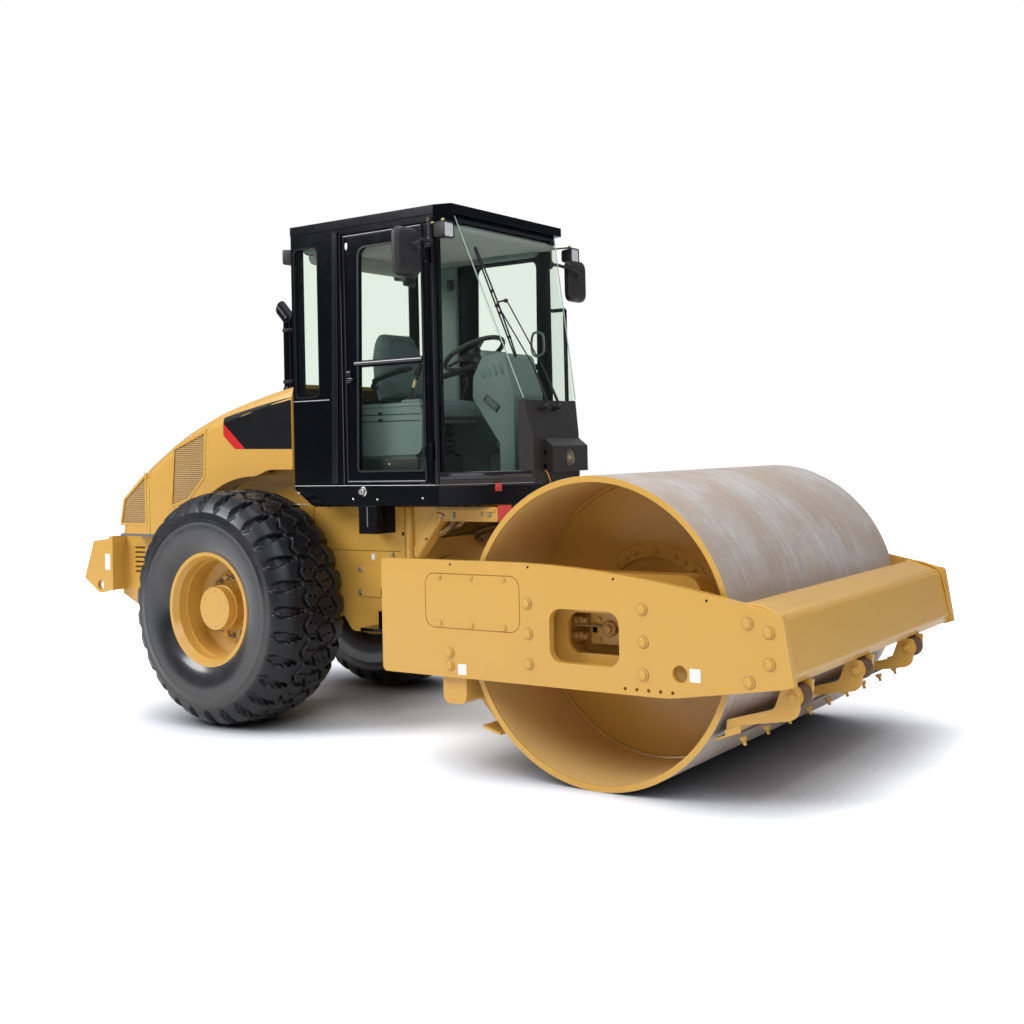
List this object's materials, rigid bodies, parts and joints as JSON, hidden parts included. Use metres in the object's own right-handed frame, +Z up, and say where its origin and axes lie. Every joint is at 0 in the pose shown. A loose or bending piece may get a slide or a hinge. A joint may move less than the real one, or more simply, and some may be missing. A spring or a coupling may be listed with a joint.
{
  "type": "smooth drum roller",
  "caption": "Articulated smooth drum roller with a closed cab: vibrating drum yoke in front, rear frame with engine hood and large tyres behind.",
  "frame": {"origin": "centre of the bounding box on the ground", "axes": "+X to the drum end, +Y to the machine's left, +Z up"},
  "size_m": [5.85, 2.3, 3.11],
  "materials": {
    "yellow_paint": "gloss",
    "black_paint": "gloss",
    "tinted_glass": "clear, faint green",
    "grey_plastic": "matte",
    "seat_fabric": "woven",
    "black_plastic": "matte",
    "cast_grey": "painted",
    "tyre_rubber": "dressed, half gloss",
    "chrome_rod": "polished",
    "rolled_steel": "brushed"
  },
  "bodies": {
    "rear_frame": {"frame_side_left": "yellow_paint", "frame_side_right": "yellow_paint", "frame_front": "yellow_paint", "frame_rear": "yellow_paint", "rear_axle": "yellow_paint", "engine": "cast_grey", "cab_floor": "black_paint", "cab_frame": "black_paint", "cab_roof": "black_paint", "cab_glass": "tinted_glass", "cab_front_panel": "black_paint", "seat": "seat_fabric", "side_console": "grey_plastic", "dash_console": "grey_plastic", "steering_wheel": "black_plastic", "mirrors": "black_paint", "work_lights": "black_paint", "handrail": "black_paint", "tool_box": "black_paint", "steps": "black_paint"},
    "hood": {"hood": "yellow_paint", "hood_grilles": "yellow_paint", "exhaust": "black_paint"},
    "door_left": {"door_left": "black_paint", "door_left_glass": "tinted_glass"},
    "door_right": {"door_right": "black_paint", "door_right_glass": "tinted_glass"},
    "wheel_left": {"tyre_left": "tyre_rubber", "wheel_left": "yellow_paint"},
    "wheel_right": {"tyre_right": "tyre_rubber", "wheel_right": "yellow_paint"},
    "hitch": {"hitch": "yellow_paint"},
    "jack_left": {"cylinder_left": "yellow_paint"},
    "jack_rod_left": {"rod_left": "chrome_rod"},
    "jack_right": {"cylinder_right": "yellow_paint"},
    "jack_rod_right": {"rod_right": "chrome_rod"},
    "yoke": {"side_plate_left": "yellow_paint", "side_plate_right": "yellow_paint", "yoke_crossmember": "yellow_paint", "yoke_arms": "yellow_paint", "front_beam": "yellow_paint", "scrapers": "yellow_paint", "drum_carriers": "yellow_paint"},
    "drum": {"drum_shell": "rolled_steel", "drum_heads": "yellow_paint"}
  },
  "joints": [
    {"name": "oscillate", "type": "hinge", "parent": "rear_frame", "child": "hitch", "pos_m": [0, 0, 0.8], "axis": [1, 0, 0], "range_deg": [-15, 15]},
    {"name": "steer", "type": "hinge", "parent": "hitch", "child": "yoke", "pos_m": [0.355, 0, 0.8], "axis": [0, 0, 1], "range_deg": [-34, 34]},
    {"name": "drum_spin", "type": "hinge", "parent": "yoke", "child": "drum", "pos_m": [1.835, 0, 0.767], "axis": [0, 1, 0], "continuous": true},
    {"name": "wheel_left_spin", "type": "hinge", "parent": "rear_frame", "child": "wheel_left", "pos_m": [-1.058, 0.741, 0.731], "axis": [0, 1, 0], "continuous": true},
    {"name": "wheel_right_spin", "type": "hinge", "parent": "rear_frame", "child": "wheel_right", "pos_m": [-1.058, -0.741, 0.731], "axis": [0, 1, 0], "continuous": true},
    {"name": "hood_tilt", "type": "hinge", "parent": "rear_frame", "child": "hood", "pos_m": [-2.415, 0, 1.18], "axis": [0, -1, 0], "range_deg": [0, 55]},
    {"name": "door_left_swing", "type": "hinge", "parent": "rear_frame", "child": "door_left", "pos_m": [0.45, 0.612, 2.2], "axis": [0, 0, -1], "range_deg": [0, 90]},
    {"name": "door_right_swing", "type": "hinge", "parent": "rear_frame", "child": "door_right", "pos_m": [0.45, -0.612, 2.2], "axis": [0, 0, 1], "range_deg": [0, 90]},
    {"name": "jack_left_swing", "type": "hinge", "parent": "hitch", "child": "jack_left", "pos_m": [0.12, 0.25, 0.8], "axis": [0, 0, 1], "range_deg": [-22.5, 22.5]},
    {"name": "jack_left_slide", "type": "slide", "parent": "jack_left", "child": "jack_rod_left", "axis": [1, 0, 0], "range_m": [-0.147, 0.147]},
    {"name": "jack_right_swing", "type": "hinge", "parent": "hitch", "child": "jack_right", "pos_m": [0.12, -0.25, 0.8], "axis": [0, 0, 1], "range_deg": [-22.5, 22.5]},
    {"name": "jack_right_slide", "type": "slide", "parent": "jack_right", "child": "jack_rod_right", "axis": [1, 0, 0], "range_m": [-0.147, 0.147]}
  ],
  "couplings": [
    {"joint": "jack_left_swing", "follows": "steer", "ratio": 0.645},
    {"joint": "jack_right_swing", "follows": "steer", "ratio": 0.645},
    {"joint": "jack_left_slide", "follows": "steer", "m_per_rad": -0.246},
    {"joint": "jack_right_slide", "follows": "steer", "m_per_rad": 0.246}
  ]
}
